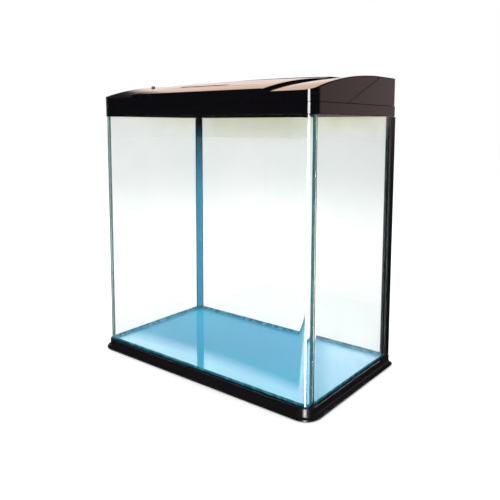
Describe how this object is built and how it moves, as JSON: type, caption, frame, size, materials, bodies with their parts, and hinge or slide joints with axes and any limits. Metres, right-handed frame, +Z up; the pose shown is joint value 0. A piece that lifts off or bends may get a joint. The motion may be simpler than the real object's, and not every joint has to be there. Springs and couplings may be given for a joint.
{
  "type": "glass aquarium tank",
  "caption": "Desktop glass fish tank with rounded front corners, flared black base and glossy black hood with a flip-up cover, feed door and built-in lamp.",
  "frame": {"origin": "on the ground, under the centre of the base", "axes": "+X to the right seen from the front, +Y to the back, +Z up"},
  "size_m": [0.38, 0.2226, 0.4113],
  "materials": {
    "base_plastic": "black, slightly warm, semi-gloss moulding",
    "black_plastic": "black high-gloss moulding",
    "foot_rubber": "matt black",
    "blue_sheet": "sky-blue foam sheet seen through the floor glass",
    "clear_glass": "clear float glass with a faint green tint, ground edges",
    "seam_silicone": "translucent teal joint",
    "dark_silicone": "dark blue-black joint bead",
    "pin_steel": "plain drawn wire",
    "lamp_plastic": "dark grey moulding",
    "reflector_metal": "polished",
    "circuit_board": "white solder mask",
    "lens_plastic": "frosted clear"
  },
  "bodies": {
    "tank": {"base_frame": "base_plastic", "rubber_foot_front_left": "foot_rubber", "rubber_foot_front_right": "foot_rubber", "rubber_foot_rear_left": "foot_rubber", "rubber_foot_rear_right": "foot_rubber", "blue_base_sheet": "blue_sheet", "bottom_glass": "clear_glass", "front_glass": "clear_glass", "rear_glass": "clear_glass", "left_side_glass": "clear_glass", "right_side_glass": "clear_glass", "floor_seam": "seam_silicone", "front_left_seam": "seam_silicone", "front_right_seam": "seam_silicone", "rear_left_seam": "dark_silicone", "rear_right_seam": "dark_silicone", "rear_left_corner_trim": "black_plastic", "rear_right_corner_trim": "black_plastic", "top_frame": "black_plastic"},
    "hood": {"rear_hood": "black_plastic", "cover_hinge_pin_left": "pin_steel", "cover_hinge_pin_right": "pin_steel"},
    "cover": {"front_cover": "black_plastic", "feed_door_pin": "pin_steel", "light_switch": "lamp_plastic", "lamp_housing": "lamp_plastic", "lamp_reflector": "reflector_metal", "led_board": "circuit_board", "lamp_lens": "lens_plastic", "lamp_end_cap_left": "lamp_plastic", "lamp_end_cap_right": "lamp_plastic", "lamp_screw_1": "pin_steel", "lamp_screw_2": "pin_steel", "lamp_screw_3": "pin_steel", "lamp_screw_4": "pin_steel"},
    "feed_door": {"feed_door": "black_plastic"},
    "light_button": {"light_button": "black_plastic"}
  },
  "joints": [
    {"name": "hood_lift", "type": "slide", "parent": "tank", "child": "hood", "axis": [0, 0, 1], "range_m": [0, 0.08]},
    {"name": "cover_hinge", "type": "hinge", "parent": "hood", "child": "cover", "pos_m": [0, 0.0505, 0.4038], "axis": [-1, 0, 0], "range_deg": [0, 70]},
    {"name": "feed_door_hinge", "type": "hinge", "parent": "cover", "child": "feed_door", "pos_m": [-0.0145, -0.0655, 0.3904], "axis": [1, 0, 0], "range_deg": [0, 100]},
    {"name": "light_button_press", "type": "slide", "parent": "cover", "child": "light_button", "axis": [0, 0, -1], "range_m": [0, 0.002], "stiffness_N_per_m": 400}
  ]
}
